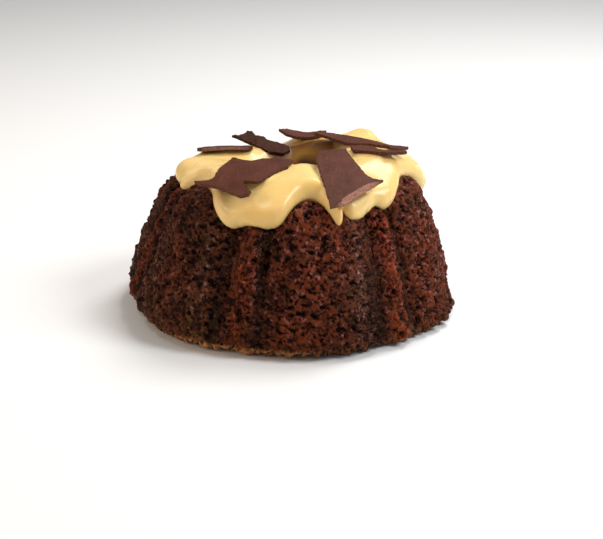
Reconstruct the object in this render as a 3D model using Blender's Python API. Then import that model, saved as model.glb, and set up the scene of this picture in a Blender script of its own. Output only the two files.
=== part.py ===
"""Small fluted ring cake: a dark chocolate sponge with a hole down the middle, pale poured icing
over its top with drips running down the flutes, and seven thin pieces of chocolate lying on it.

The front faces -Y. Angles run round +Z from the front toward +X. Sizes are in millimetres and
degrees until a mesh is made, which is in metres.
"""

import math

import bmesh
import bpy
from mathutils import Euler, Matrix, Vector, noise

MM = 0.001
STEPS = 144  # columns round the ring, 2.5 degrees each

# The whole cake leans toward +X above its flat base, and its rim is higher on the -X side.
LEAN = math.tan(math.radians(2.2))
RIM_LIFT = 0.057
RIM_LIFT_FROM = 6.0
RIM_LIFT_GONE = 26.0

# Flutes: wide rounded lobes with a narrow ridge between each two.
FLUTES = 6
FLUTE_TURN = 12.0
FLUTE_DEPTH = 5.6
LOBE_HALF = 22.5
LOBE_ROUND = 0.92
RIDGE_RISE = 0.42

# Outer profile from the floor to the crest: radius, height, share of the flute depth.
OUTER = [
    (42.1, 0.0, 0.20),
    (45.8, 0.8, 0.30),
    (48.1, 2.6, 0.45),
    (49.8, 5.5, 0.60),
    (48.6, 9.0, 0.75),
    (47.3, 14.5, 0.95),
    (45.7, 20.0, 1.05),
    (43.6, 26.0, 1.15),
    (41.2, 31.5, 1.15),
    (38.2, 37.0, 1.00),
    (34.0, 40.7, 0.80),
    (26.5, 42.5, 0.45),
]
# From the crest down the hole, which narrows toward the floor.
INNER = [
    (21.0, 42.6, 0.20),
    (17.0, 42.3, 0.10),
    (14.3, 40.6, 0.0),
    (12.9, 37.0, 0.0),
    (12.2, 31.0, 0.0),
    (11.6, 22.0, 0.0),
    (10.8, 11.0, 0.0),
    (10.4, 0.0, 0.0),
]

# No two lobes baked alike: each one's own swell on the wall, swell at the foot and extra height.
LOBES = {
    -168.0: (-0.3, 0.3, -2.6),
    -108.0: (1.0, 0.3, -3.0),
    -48.0: (0.4, -0.2, -0.6),
    12.0: (-0.2, -1.7, 0.0),
    72.0: (-0.4, 0.3, 2.4),
    132.0: (0.3, -0.5, 1.0),
}
FOOT_HEIGHT = 12.0
CROWN_FROM, CROWN_FULL = 33.0, 43.0

# Crumb: hollows that go in from the smooth form, so that the icing stays clear of them.
CRUMB_DEPTH = 0.8
CRUMB_SIZE = 2.6
RIM_CRUMB_DEPTH = 1.1
RIM_TOP = 5.0

# Icing: how far each drip reaches outward from the crest, along the sponge.
DRIPS = [
    (-180.0, 5.6), (-172.0, 4.6), (-163.0, 5.6), (-156.0, 9.4), (-150.0, 13.6),
    (-143.0, 15.4), (-136.0, 13.4), (-129.0, 9.8), (-121.0, 6.6), (-113.0, 5.8),
    (-105.0, 7.8), (-97.0, 9.4), (-89.0, 9.6), (-81.0, 9.4), (-75.0, 9.5),
    (-71.5, 6.6), (-68.0, 4.2), (-63.5, 3.4), (-57.0, 3.5), (-51.5, 4.4),
    (-46.0, 6.2), (-40.5, 9.5), (-35.5, 12.9), (-31.5, 15.4), (-28.0, 16.5),
    (-25.5, 16.2), (-21.5, 15.2), (-17.0, 15.1), (-13.0, 15.8), (-10.0, 15.6),
    (-6.5, 14.1), (-4.5, 12.0), (-2.5, 9.4), (0.0, 6.7), (3.5, 4.7),
    (7.5, 4.2), (11.0, 5.1), (13.5, 7.6), (15.5, 10.8), (17.0, 13.2),
    (18.6, 14.4), (20.2, 13.2), (21.5, 10.2), (22.6, 11.6), (24.2, 13.0),
    (27.5, 13.8), (31.5, 14.0), (36.0, 13.3), (40.3, 11.8), (45.0, 13.3),
    (49.5, 13.7), (52.5, 12.3), (55.5, 10.7), (59.0, 9.2), (64.0, 7.5),
    (70.0, 6.9), (77.0, 8.4), (82.0, 11.4), (87.0, 14.6), (92.0, 17.0),
    (97.0, 18.0), (102.0, 16.6), (108.0, 12.6), (115.0, 8.5), (124.0, 5.6),
    (134.0, 5.0), (142.0, 7.2), (150.0, 12.4), (157.0, 16.0), (164.0, 14.8),
    (171.0, 10.0),
]  # fmt: skip
ICING_GAP = 0.72
HOLE_REACH = 21.0  # the icing's own reach into the hole
CREST_THICK = 3.68
DRIP_THICK = 2.08
HOLE_THICK = 2.18
BEAD = 2.4  # width over which an edge rounds off
SOFTEN = 7.0  # degrees over which the icing evens out the flutes
# Swells and dimples in the poured top: angle, reach, height, width.
SWIRLS = [
    (136.0, 3.0, 1.6, 2.0),
    (145.0, 3.0, 1.6, 2.2),
    (8.0, -8.0, 1.2, 3.2),
    (97.0, 11.0, 1.4, 4.5),
    (-163.0, 1.0, -2.0, 4.2),
    (-95.0, 5.0, 2.0, 4.0),
    (-33.0, 8.0, -0.7, 3.4),
    (-10.0, 7.0, 0.5, 6.0),
    (55.0, 4.0, 0.6, 7.0),
    (-150.0, -9.0, 0.5, 5.0),
]
WAVE = 0.35

# Broken chocolate: middle of the top face, turns about X, Y and Z, bend, and the corners of
# each piece in its own plane. The bend is how fast it curls down away from its middle line.
# A piece that isn't SHARD_THICK has its own thickness, "thick".
SHARDS = {
    "shard_a": {
        "centre": (-12.8, -24.0, 47.7),
        "turns": (9.0, -5.0, 0.0),
        "bend": 0.006,
        "bend_turn": 60.0,
        "corners": [
            (-14.4, -1.0), (-10.5, -1.4), (-9.1, -0.5), (-7.5, 5.6), (-4.8, 10.8), (-4.0, 13.3),
            (-2.9, 13.2), (-0.5, 10.7), (1.8, 10.0), (4.7, 11.6), (10.8, 12.0), (13.9, 9.9),
            (12.2, 3.7), (8.8, 0.6), (4.8, -4.9), (3.7, -5.6), (-0.2, -4.4), (0.1, -7.4),
            (1.8, -10.6), (1.2, -12.0), (-1.3, -12.4), (-4.7, -8.9), (-9.0, -5.1), (-12.7, -3.1),
        ],
    },
    "shard_b": {
        "centre": (14.5, -27.7, 47.5),
        "turns": (19.0, 4.0, 0.0),
        "bend": 0.003,
        "bend_turn": 100.0,
        "corners": [
            (-7.1, 12.9), (-6.5, 14.2), (1.3, 16.2), (3.2, 10.7), (5.4, 6.1), (6.8, 2.8),
            (8.7, 1.0), (11.8, 0.7), (7.8, -3.8), (0.8, -11.5), (-3.3, -13.4), (-3.6, -10.5),
            (-5.6, -0.7), (-6.8, 5.8), (-7.4, 8.4),
        ],
    },
    "shard_c": {
        "centre": (-19.6, 10.8, 46.5),
        "turns": (-12.0, -0.6, 2.0),
        "bend": 0.004,
        "bend_turn": 0.0,
        "thick": 1.1,
        "corners": [
            (-8.8, -1.6), (-7.4, -5.2), (-4.4, -4.4), (-1.0, -3.9), (3.0, -3.0), (6.0, -2.6),
            (7.8, -1.4), (8.2, 1.2), (6.8, 2.6), (3.4, 2.6), (0.6, 3.6), (-3.4, 3.4),
            (-6.2, 2.8),
        ],
    },
    "shard_d": {
        "centre": (-7.2, 16.5, 46.0),
        "turns": (14.0, 5.0, 0.0),
        "bend": 0.000,
        "bend_turn": 0.0,
        "corners": [
            (-11.0, 3.2), (-7.6, 4.5), (-6.5, 6.9), (-4.9, 6.9), (-3.6, 4.5), (-1.1, 4.3),
            (0.2, 2.3), (3.6, 1.2), (6.9, -0.6), (7.3, -3.2), (5.4, -5.4), (1.1, -5.5),
            (-3.7, -1.6), (-6.2, -0.1),
        ],
    },
    "shard_e": {
        "centre": (4.0, 22.5, 47.2),
        "turns": (-3.0, 2.5, -4.0),
        "bend": -0.027,
        "bend_turn": 0.0,
        "corners": [
            (-7.6, -1.0), (-5.2, -3.8), (-2.0, -4.4), (1.8, -4.0), (5.0, -4.4), (7.4, -2.6),
            (7.2, 1.6), (5.2, 4.2), (1.4, 3.6), (-2.0, 4.6), (-5.4, 3.8), (-6.6, 1.2),
        ],
    },
    "shard_f": {
        "centre": (26.1, -10.5, 51.0),
        "turns": (-4.0, 1.0, 0.0),
        "bend": 0.000,
        "bend_turn": 0.0,
        "corners": [
            (-8.4, 6.2), (-5.0, 7.0), (-1.8, 5.6), (-0.4, 2.0), (1.2, 0.8), (4.6, 0.3),
            (7.4, 0.2), (7.8, -1.0), (6.6, -2.0), (4.4, -2.4), (2.0, -3.4), (-1.2, -2.8),
            (-4.8, -1.4), (-8.0, -0.8),
        ],
    },
    "shard_g": {
        "centre": (19.5, 5.6, 50.15),
        "turns": (0.0, -1.8, -42.0),
        "bend": 0.000,
        "bend_turn": 0.0,
        "corners": [
            (-15.0, 0.6), (-11.0, 1.8), (-5.0, 2.2), (1.0, 2.4), (7.0, 1.6), (14.2, 0.4),
            (16.2, 1.4), (18.8, 1.9), (19.2, -0.8), (18.6, -2.6), (15.6, -2.4), (13.4, -1.2),
            (10.0, -1.8), (6.5, -2.8), (3.5, -4.8), (0.5, -5.2), (-4.0, -4.0), (-8.0, -2.8),
            (-12.0, -2.0), (-15.0, -1.4),
        ],
    },
}  # fmt: skip
SHARD_THICK = 0.9
SHARD_STRIP = 4.0  # width of the strips that a bent piece is made in

SPONGE_COLOUR = (0.045, 0.014, 0.009, 1.0)
ICING_COLOUR = (0.78, 0.56, 0.30, 1.0)
CHOCOLATE_COLOUR = (0.06, 0.028, 0.026, 1.0)


def clear_scene():
    for obj in list(bpy.data.objects):
        bpy.data.objects.remove(obj, do_unlink=True)


def material(name, colour, roughness):
    made = bpy.data.materials.new(name)
    made.use_nodes = True
    shader = made.node_tree.nodes["Principled BSDF"]
    shader.inputs["Base Color"].default_value = colour
    shader.inputs["Roughness"].default_value = roughness
    return made


def smooth(t):
    t = min(max(t, 0.0), 1.0)
    return t * t * (3.0 - 2.0 * t)


def turned(angle, centre):
    """The angle from centre, between -180 and 180."""
    return (angle - centre + 180.0) % 360.0 - 180.0


def lobe(angle):
    """0 at the top of a wide lobe, about -0.7 in the valleys, partly up again on a ridge."""
    spacing = 360.0 / FLUTES
    off = abs((angle - FLUTE_TURN + spacing / 2) % spacing - spacing / 2)
    if off < LOBE_HALF:
        return math.sqrt(1.0 - LOBE_ROUND * (off / LOBE_HALF) ** 2) - 1.0
    valley = math.sqrt(1.0 - LOBE_ROUND) - 1.0
    return valley + RIDGE_RISE * (off - LOBE_HALF) / (spacing / 2 - LOBE_HALF)


def soft_lobe(angle):
    """The lobe form evened out, as thick icing would."""
    shares = [-1.0, -0.5, 0.0, 0.5, 1.0]
    return sum(lobe(angle + share * SOFTEN) for share in shares) / len(shares)


def lobe_mix(angle):
    """(wall swell, foot swell, extra height) at this angle, blended from lobe to lobe."""
    mixed = [0.0, 0.0, 0.0]
    for centre, own in LOBES.items():
        off = min(abs(turned(angle, centre)) * 1.5, 90.0)
        share = math.cos(math.radians(off)) ** 2
        mixed = [total + share * value for total, value in zip(mixed, own)]
    return mixed


def through(points, share, index):
    """Catmull-Rom between points[index] and the next."""
    before = points[max(index - 1, 0)]
    after = points[min(index + 2, len(points) - 1)]
    found = []
    for a, b, c, d in zip(before, points[index], points[index + 1], after):
        line = (c - a) * share
        curve = (2 * a - 5 * b + 4 * c - d) * share**2
        cubic = (3 * b - a - 3 * c + d) * share**3
        found.append(0.5 * (2 * b + line + curve + cubic))
    return found


def profile_table(parts=16):
    """(reach, radius, height, flute share) along the whole profile; reach is 0 at the crest,
    above 0 on the outside and below 0 in the hole."""
    stations = OUTER + INNER
    rows = []
    for index in range(len(stations) - 1):
        rows += [through(stations, part / parts, index) for part in range(parts)]
    rows.append(list(stations[-1]))
    reach = [0.0]
    for low, high in zip(rows, rows[1:]):
        reach.append(reach[-1] + math.dist(low[:2], high[:2]))
    crest = reach[(len(OUTER) - 1) * parts]
    return [(crest - along, *row) for along, row in zip(reach, rows)]


TABLE = profile_table()
FLOOR_REACH = TABLE[0][0]
HOLE_FLOOR_REACH = TABLE[-1][0]


def at_reach(reach):
    """(radius, height, flute share, outward direction in the profile's plane)."""
    reach = min(max(reach, HOLE_FLOOR_REACH), FLOOR_REACH)
    low, high = 0, len(TABLE) - 1
    while high - low > 1:
        middle = (low + high) // 2
        if TABLE[middle][0] >= reach:
            low = middle
        else:
            high = middle
    first, second = TABLE[low], TABLE[high]
    share = (first[0] - reach) / (first[0] - second[0])
    radius, height, flute = (a + (b - a) * share for a, b in zip(first[1:], second[1:]))
    along = (second[1] - first[1], second[2] - first[2])
    length = math.hypot(*along)
    return radius, height, flute, (along[1] / length, -along[0] / length)


def placed(angle, radius, height):
    """The point in the leaning cake."""
    turn = math.radians(angle)
    x = radius * math.sin(turn)
    y = -radius * math.cos(turn)
    lift = smooth(height / RIM_LIFT_FROM)
    lift *= 1.0 - smooth((height - RIM_LIFT_FROM) / (RIM_LIFT_GONE - RIM_LIFT_FROM))
    return Vector((x + height * LEAN, y, height - x * RIM_LIFT * lift))


def on_sponge(angle, reach, out=0.0, softened=0.0):
    """A point of the smooth sponge form, or that far out from it."""
    radius, height, flute, outward = at_reach(reach)
    form = lobe(angle)
    form += (soft_lobe(angle) - form) * softened
    radius += form * FLUTE_DEPTH * flute
    wall, foot, crown = lobe_mix(angle)
    swell = foot + (wall - foot) * smooth(height / FOOT_HEIGHT)
    radius += swell * smooth(radius / 12.0 - 1.5) + outward[0] * out
    crown *= smooth((height - CROWN_FROM) / (CROWN_FULL - CROWN_FROM))
    return placed(angle, radius, height + crown + outward[1] * out)


def ring_solid(name, rings, look):
    """A closed solid from rings that follow one another round its section."""
    mesh = bpy.data.meshes.new(name)
    points = [point * MM for ring in rings for point in ring]
    faces = []
    for row in range(len(rings)):
        after = (row + 1) % len(rings)
        for column in range(STEPS):
            beside = (column + 1) % STEPS
            corners = (
                row * STEPS + column,
                after * STEPS + column,
                after * STEPS + beside,
                row * STEPS + beside,
            )
            faces.append(corners)
    mesh.from_pydata(points, [], faces)
    mesh.validate()
    built = bmesh.new()
    built.from_mesh(mesh)
    bmesh.ops.triangulate(built, faces=built.faces)
    bmesh.ops.recalc_face_normals(built, faces=built.faces)
    built.to_mesh(mesh)
    built.free()
    return show(name, mesh, look)


def show(name, mesh, look, rounded=True):
    for face in mesh.polygons:
        face.use_smooth = rounded
    mesh.materials.append(look)
    made = bpy.data.objects.new(name, mesh)
    bpy.context.scene.collection.objects.link(made)
    return made


ANGLES = [column * 360.0 / STEPS - 180.0 + 2.0 for column in range(STEPS)]


def crumb(point, angle, reach):
    """How far the crumb goes in at this point."""
    spot = point / CRUMB_SIZE
    depth = CRUMB_DEPTH * (0.5 + 0.5 * noise.noise(spot))
    height = at_reach(reach)[1]
    if reach > 0 and height < RIM_TOP:
        rim = smooth(height / 2.0) * (1.0 - smooth((height - 2.0) / (RIM_TOP - 2.0)))
        depth += RIM_CRUMB_DEPTH * rim * max(noise.noise(spot * 1.3 + Vector((9, 4, 2))), 0.0)
    return depth


def make_sponge(look):
    wall_rows = 16
    hole_rows = 6
    reaches = [FLOOR_REACH * (1.0 - row / wall_rows) for row in range(wall_rows)]
    reaches += [HOLE_FLOOR_REACH * row / hole_rows for row in range(hole_rows + 1)]
    rings = []
    for reach in reaches:
        ring = []
        for angle in ANGLES:
            point = on_sponge(angle, reach)
            if 0.2 < at_reach(reach)[1]:
                point = on_sponge(angle, reach, -crumb(point, angle, reach))
            ring.append(point)
        rings.append(ring)
    for share in (0.35, 0.7):
        inside, outside = rings[len(reaches) - 1], rings[0]
        rings.append([a.lerp(b, share) for a, b in zip(inside, outside)])
    return ring_solid("sponge", rings, look)


def drip_reach(angle):
    """The icing's outward reach at this angle: a smooth curve through DRIPS."""
    angle = turned(angle, 0.0)
    count = len(DRIPS)
    index = count - 1
    for place, (start, _) in enumerate(DRIPS):
        if start > angle:
            index = place - 1
            break
    knots = []
    for shift in (-1, 0, 1, 2):
        lap, place = divmod(index + shift, count)
        knots.append((DRIPS[place][0] + 360.0 * lap, DRIPS[place][1]))
    (a0, r0), (a1, r1), (a2, r2), (a3, r3) = knots
    if angle < a1:
        angle += 360.0
    wide = a2 - a1
    share = (angle - a1) / wide
    leave = (r2 - r0) / (a2 - a0) * wide
    arrive = (r3 - r1) / (a3 - a1) * wide
    turn_in = share**3 - 2 * share**2 + share
    turn_out = share**3 - share**2
    rise = 3 * share**2 - 2 * share**3
    return r1 + (r2 - r1) * rise + turn_in * leave + turn_out * arrive


def thickness(angle, reach, outer):
    """How thick the icing is there: rounded off at both edges, swollen at the swirls."""
    if reach >= 0:
        full = CREST_THICK + (DRIP_THICK - CREST_THICK) * smooth(reach / 9.0)
    else:
        full = CREST_THICK + (HOLE_THICK - CREST_THICK) * smooth((-reach - 9.0) / 8.0)
    radius = at_reach(reach)[0]
    for centre, place, height, wide in SWIRLS:
        across = math.radians(turned(angle, centre)) * radius
        full += height * math.exp(-(across**2 + (reach - place) ** 2) / (2 * wide**2))
    point = on_sponge(angle, reach)
    full += WAVE * noise.noise(point / 9.0)
    edge = min(outer - reach, reach + HOLE_REACH)
    edge = min(max(edge / BEAD, 0.0), 1.0)
    return full * math.sqrt(1.0 - (1.0 - edge) ** 2)


def on_icing(angle, reach, outer):
    """A point of the icing's upper surface."""
    out = ICING_GAP + thickness(angle, reach, outer)
    softened = smooth((outer - reach) / 4.0)
    return on_sponge(angle, reach, out, softened)


def icing_rows(outer):
    """The reaches of the rings over the icing, closer together where an edge rounds off."""
    inner_flat = -HOLE_REACH + BEAD
    outer_flat = outer - BEAD
    rows = [-HOLE_REACH + 0.3, -HOLE_REACH + 1.0, inner_flat]
    rows += [inner_flat * share for share in (0.66, 0.33)]
    rows += [0.0]
    rows += [outer_flat * share for share in (0.4, 0.75, 1.0)]
    rows += [outer - 1.0, outer - 0.3]
    return rows


def make_icing(look):
    columns = []
    for angle in ANGLES:
        outer = drip_reach(angle)
        column = [on_sponge(angle, -HOLE_REACH, ICING_GAP)]
        column += [on_icing(angle, reach, outer) for reach in icing_rows(outer)]
        under = [outer, outer * 0.75, outer * 0.45, 0.0, -8.0, -13.0]
        column += [on_sponge(angle, reach, ICING_GAP) for reach in under]
        columns.append(column)
    rings = [list(ring) for ring in zip(*columns)]
    return ring_solid("icing", rings, look)


def make_shard(name, look, shard):
    turn = math.radians(shard["bend_turn"])
    along = Vector((math.cos(turn), math.sin(turn), 0.0))
    built = bmesh.new()
    built.faces.new([built.verts.new((u, v, 0.0)) for u, v in shard["corners"]])
    if shard["bend"]:
        places = [vert.co.dot(along) for vert in built.verts]
        for step in range(math.ceil(min(places) / SHARD_STRIP), math.ceil(max(places) / SHARD_STRIP)):
            whole = built.verts[:] + built.edges[:] + built.faces[:]
            cut = along * step * SHARD_STRIP
            bmesh.ops.bisect_plane(built, geom=whole, plane_co=cut, plane_no=along)
    bmesh.ops.triangulate(built, faces=built.faces[:])
    grown = bmesh.ops.extrude_face_region(built, geom=built.faces[:], use_keep_orig=True)
    for item in grown["geom"]:
        if isinstance(item, bmesh.types.BMVert):
            item.co.z -= shard.get("thick", SHARD_THICK)
    pose = Matrix.Translation(shard["centre"])
    pose @= Euler([math.radians(part) for part in shard["turns"]]).to_matrix().to_4x4()
    for vert in built.verts:
        vert.co.z -= shard["bend"] * vert.co.dot(along) ** 2
        vert.co = (pose @ vert.co) * MM
    bmesh.ops.recalc_face_normals(built, faces=built.faces[:])
    mesh = bpy.data.meshes.new(name)
    built.to_mesh(mesh)
    built.free()
    return show(name, mesh, look, rounded=False)


def main():
    clear_scene()
    sponge_look = material("sponge", SPONGE_COLOUR, 0.85)
    icing_look = material("icing", ICING_COLOUR, 0.3)
    chocolate_look = material("chocolate", CHOCOLATE_COLOUR, 0.45)
    make_sponge(sponge_look)
    make_icing(icing_look)
    for name, shard in SHARDS.items():
        make_shard(name, chocolate_look, shard)


main()
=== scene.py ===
"""Looks of the small fluted ring cake: porous dark chocolate sponge, glossy poured caramel icing
and seven broken pieces of chocolate, on a plain pale floor.

The forms repeat the named sizes of the solids and add what is finer than they are. Sizes are in
millimetres and degrees until a mesh is made; camera, lights and looks are in metres. The front
faces -Y, and angles run round +Z from the front toward +X. Reach is the way along the sponge's
profile from its crest, above 0 on the outside and below 0 in the hole.
"""

import math

import bpy
import numpy as np
from mathutils import Euler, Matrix, Vector, geometry, kdtree, noise
from mathutils.bvhtree import BVHTree


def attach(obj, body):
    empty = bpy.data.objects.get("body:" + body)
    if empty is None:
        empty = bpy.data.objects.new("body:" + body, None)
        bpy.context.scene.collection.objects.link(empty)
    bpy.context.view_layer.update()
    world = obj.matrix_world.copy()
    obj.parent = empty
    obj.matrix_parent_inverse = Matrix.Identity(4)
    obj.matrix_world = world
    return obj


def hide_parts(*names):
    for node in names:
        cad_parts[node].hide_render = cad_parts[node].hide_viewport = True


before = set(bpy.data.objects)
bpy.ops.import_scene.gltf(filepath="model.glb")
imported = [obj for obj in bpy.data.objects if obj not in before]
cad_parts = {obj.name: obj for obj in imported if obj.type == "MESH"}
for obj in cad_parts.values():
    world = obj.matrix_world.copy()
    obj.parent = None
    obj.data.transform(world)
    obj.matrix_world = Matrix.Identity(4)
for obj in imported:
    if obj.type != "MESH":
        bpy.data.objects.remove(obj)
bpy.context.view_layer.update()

MM = 0.001
TINY = 1e-9

# The whole cake leans toward +X above its flat base, and its rim is higher on the -X side.
LEAN = math.tan(math.radians(2.2))
RIM_LIFT = 0.057
RIM_LIFT_FROM = 6.0
RIM_LIFT_GONE = 26.0

# Flutes: wide rounded lobes with a narrow ridge between each two.
FLUTES = 6
FLUTE_SPACING = 360.0 / FLUTES
FLUTE_TURN = 12.0
FLUTE_DEPTH = 5.6
LOBE_HALF = 22.5
LOBE_ROUND = 0.92
RIDGE_RISE = 0.42

# Outer profile from the floor to the crest: radius, height, share of the flute depth.
OUTER = [
    (42.1, 0.0, 0.20),
    (45.8, 0.8, 0.30),
    (48.1, 2.6, 0.45),
    (49.8, 5.5, 0.60),
    (48.6, 9.0, 0.75),
    (47.3, 14.5, 0.95),
    (45.7, 20.0, 1.05),
    (43.6, 26.0, 1.15),
    (41.2, 31.5, 1.15),
    (38.2, 37.0, 1.00),
    (34.0, 40.7, 0.80),
    (26.5, 42.5, 0.45),
]
# From the crest down the hole, which narrows toward the floor.
INNER = [
    (21.0, 42.6, 0.20),
    (17.0, 42.3, 0.10),
    (14.3, 40.6, 0.0),
    (12.9, 37.0, 0.0),
    (12.2, 31.0, 0.0),
    (11.6, 22.0, 0.0),
    (10.8, 11.0, 0.0),
    (10.4, 0.0, 0.0),
]
PROFILE_PARTS = 16  # points of the smooth profile from one station to the next

# Each lobe's own swell on the wall, swell at the foot and extra height.
LOBES = {
    -168.0: (-0.3, 0.3, -2.6),
    -108.0: (1.0, 0.3, -3.0),
    -48.0: (0.4, -0.2, -0.6),
    12.0: (-0.2, -1.7, 0.0),
    72.0: (-0.4, 0.3, 2.4),
    132.0: (0.3, -0.5, 1.0),
}
FOOT_HEIGHT = 12.0
CROWN_FROM, CROWN_FULL = 33.0, 43.0
SWELL_FROM, SWELL_FULL = 18.0, 30.0  # the swell fades in over these radii

# Sponge mesh: columns round the wall, a third as many in the hole, and the length of a row.
WALL_COLUMNS = 720
HOLE_SHARE = 3
WALL_STEP = 0.47
HOLE_STEP = 0.9
WALL_TOP_REACH = 2.5  # above this the icing hides the sponge, which has a few smooth rows there
HOLE_TOP_REACH = -15.0
HIDDEN_ROWS = 6
HIDDEN_PAST = 2.0  # the crumb starts again this much lower in the hole
SLOPE_STEP = 0.2  # from point to point when a normal is worked out
MIDWAY = 0.45  # place of the underside's own ring, from the foot's rim to the hole

# A layer of noise is the size of its lumps, its height and its own shift.
LUMPS = [(7.0, 0.45, 5.5), (2.6, 0.42, 9.5), (1.1, 0.36, 8.5)]
SIDE_RUGGED = 0.7  # how much more uneven the crumb is at the sides and back than in front
SIDE_FROM, SIDE_OVER = 40.0, 35.0
CRUMB_PROUD = 0.45
FOOT_FADE = 1.2  # height over which the crumb starts above the flat underside
CRUMB_CLEAR = 0.3  # crumbs that hang down at the rim stay this far above the floor
RIM_LUMPS = [(1.9, 3.0, 15.5)]
RIM_FROM, RIM_HEIGHT = 3.0, 7.0  # ragged up to the first height, and no more at the second
RIM_RAGGED_AT = 72.0  # the raggedest side
RIM_PROUD = 0.6
CONTACT_DEEP = 0.2  # the crumb dips by this under the icing and beside its edge
CONTACT_WIDE = 2.2
CONTACT_FREE = 1.5  # how much farther it may stand out where that dip ends
EDGE_SEARCH = 9.0

# Pores: size of the cells they grow in, share of the cells that open, radius within a cell, how
# much of it is the slope of the pore's side, least wall to the next pore, and depth.
PORES = [
    {"cell": (2.4, 2.4, 1.5), "open": 0.55, "radius": 0.70, "slope": 0.18, "wall": 0.14,
     "depth": 1.15, "shift": 3.7},
    {"cell": (1.5, 1.5, 1.05), "open": 0.84, "radius": 0.68, "slope": 0.22, "wall": 0.2,
     "depth": 0.75, "shift": 11.3},
]
PORE_WARP = 0.8
PORE_WARP_SIZE = 1.4
PORE_WARP_SHIFTS = (1.5, 21.5, 41.5)
OPEN_DRAW, DEPTH_DRAW = 31.7, 57.3  # a cell's centre times these gives its own random draws
PORE_LEAST = 0.6  # radius of the smallest pores as a share of the largest
PORE_DEEP, PORE_DEEP_VARIES = 0.85, 0.3
PORE_SHADE_FULL = 0.9  # depth at which a pore's painted shade is darkest

# Tones painted on the crumb, mostly painted light and shade: where they lie and how far they spread.
RIDGE_TONE_FROM, RIDGE_TONE_OVER = 2.0, 4.0
VALLEY_SHADE_WIDE = 5.0
VALLEY_SHADE_PAST = (1.5, -2.0)  # from the edge of a lobe to the middle of the painted shade in its hollow, on its left and right
VALLEY_SHADE_WIDER, VALLEY_SHADE_WIDER_AT, VALLEY_SHADE_WIDER_SPREAD = 3.0, 28.0, 9.0  # one hollow's painted shade is wider
COOL_SHEEN_BANDS = [(13.0, 3.5, 1.0), (-27.5, 2.0, 0.3)]  # painted bluish sheen: angle from a lobe's middle, width, share
LIT_SIDE_AT = 70.0  # the side where painted light makes the crumb palest
LIT_SIDE_HEIGHT = 20.0
FRONT_LIT, FRONT_SPREAD = 0.6, 15.0  # painted light on the top of the front lobe too
FRONT_FROM, FRONT_OVER = 22.0, 12.0
WARM_AT, WARM_SPREAD = -42.0, 16.0  # where reddish bounce light is painted on the foot, as on the ridges
WARM_RIDGE = 0.9
WARM_FROM, WARM_OVER = 5.0, 12.0  # height up to which that painted light reaches, and over which it fades
CRUST_HEIGHT, CRUST_FADE = 2.5, 0.9
CRUST_AT, CRUST_SPREAD = -24.0, 34.0
CRUST_LEAST = 0.1
CRUST_PATCHES = [(3.0, 0.9, 27.5)]
CRUST_FULL = 0.9
UNDER_CRUST = 0.3  # share of the crust's colour on the flat underside

# Icing: how far each drip reaches outward from the crest, along the sponge.
DRIPS = [
    (-180.0, 5.6), (-172.0, 4.6), (-163.0, 5.6), (-156.0, 9.4), (-150.0, 13.6),
    (-143.0, 15.4), (-136.0, 13.4), (-129.0, 9.8), (-121.0, 6.6), (-113.0, 5.8),
    (-105.0, 7.8), (-97.0, 9.4), (-89.0, 9.6), (-81.0, 9.4), (-75.0, 9.5),
    (-71.5, 6.6), (-68.0, 4.2), (-63.5, 3.4), (-57.0, 3.5), (-51.5, 4.4),
    (-46.0, 6.2), (-40.5, 9.5), (-35.5, 12.9), (-31.5, 15.4), (-28.0, 16.5),
    (-25.5, 16.2), (-21.5, 15.2), (-17.0, 15.1), (-13.0, 15.8), (-10.0, 15.6),
    (-6.5, 14.1), (-4.5, 12.0), (-2.5, 9.4), (0.0, 6.7), (3.5, 4.7),
    (7.5, 4.2), (11.0, 5.1), (13.5, 7.6), (15.5, 10.8), (17.0, 13.2),
    (18.6, 14.4), (20.2, 13.2), (21.5, 10.2), (22.6, 11.6), (24.2, 13.0),
    (27.5, 13.8), (31.5, 14.0), (36.0, 13.3), (40.3, 11.8), (45.0, 13.3),
    (49.5, 13.7), (52.5, 12.3), (55.5, 10.7), (59.0, 9.2), (64.0, 7.5),
    (70.0, 6.9), (77.0, 8.4), (82.0, 11.4), (87.0, 14.6), (92.0, 17.0),
    (97.0, 18.0), (102.0, 16.6), (108.0, 12.6), (115.0, 8.5), (124.0, 5.6),
    (134.0, 5.0), (142.0, 7.2), (150.0, 12.4), (157.0, 16.0), (164.0, 14.8),
    (171.0, 10.0),
]
HOLE_REACH = 21.0  # the icing's own reach into the hole
FINE_TURNS = 7200
ICING_COLUMNS = 900
COLUMN_RADIUS = 38.0
COLUMNS_BY_EDGE = 0.6  # how much the columns follow the edge up and down, against all even
ICING_ROWS = 84
ROWS_EASED = 0.68  # how much the rows close up toward the edges, against all even
UNDER_ROWS = 7
CREST_THICK = 4.4
DRIP_THICK, DRIP_OVER = 2.8, 9.0  # a drip's thickness, and the reach over which it gets there
HOLE_THICK, HOLE_THICK_FROM, HOLE_THICK_OVER = 2.9, 9.0, 8.0
BEAD = 2.5  # width over which an edge rounds off
POOL = 0.35  # extra thickness where the icing gathers above its lower edge
POOL_BACK = 3.6
POOL_WIDE = 1.8
SEAT = -0.45  # how deep the icing's underside sits in the crumb
WAVES = [(9.0, 0.35, 0.0), (3.5, 0.08, 2.5)]
SMOOTH_PASSES = 6
SMOOTH_FROM = 1.2  # the icing keeps its rounded form nearer than this to its edges
SMOOTH_SHARE = 0.5
SOFTEN = 7.0  # degrees each way over which the icing evens out the flutes
SOFT_AT_EDGE, SOFT_OVER = 0.35, 4.0  # less so at its lower edge
HOLE_SHADE_FROM, HOLE_SHADE_OVER = -9.5, 10.0  # reach into the hole from which painted shade darkens the icing
HOLE_SHADE_BACK, HOLE_SHADE_BACK_AT, HOLE_SHADE_BACK_SPREAD = 5.5, 165.0, 45.0  # the painted shade starts higher at the back
HOLE_SHADE_UNEVEN = [(4.0, 0.7, 3.5)]
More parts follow.
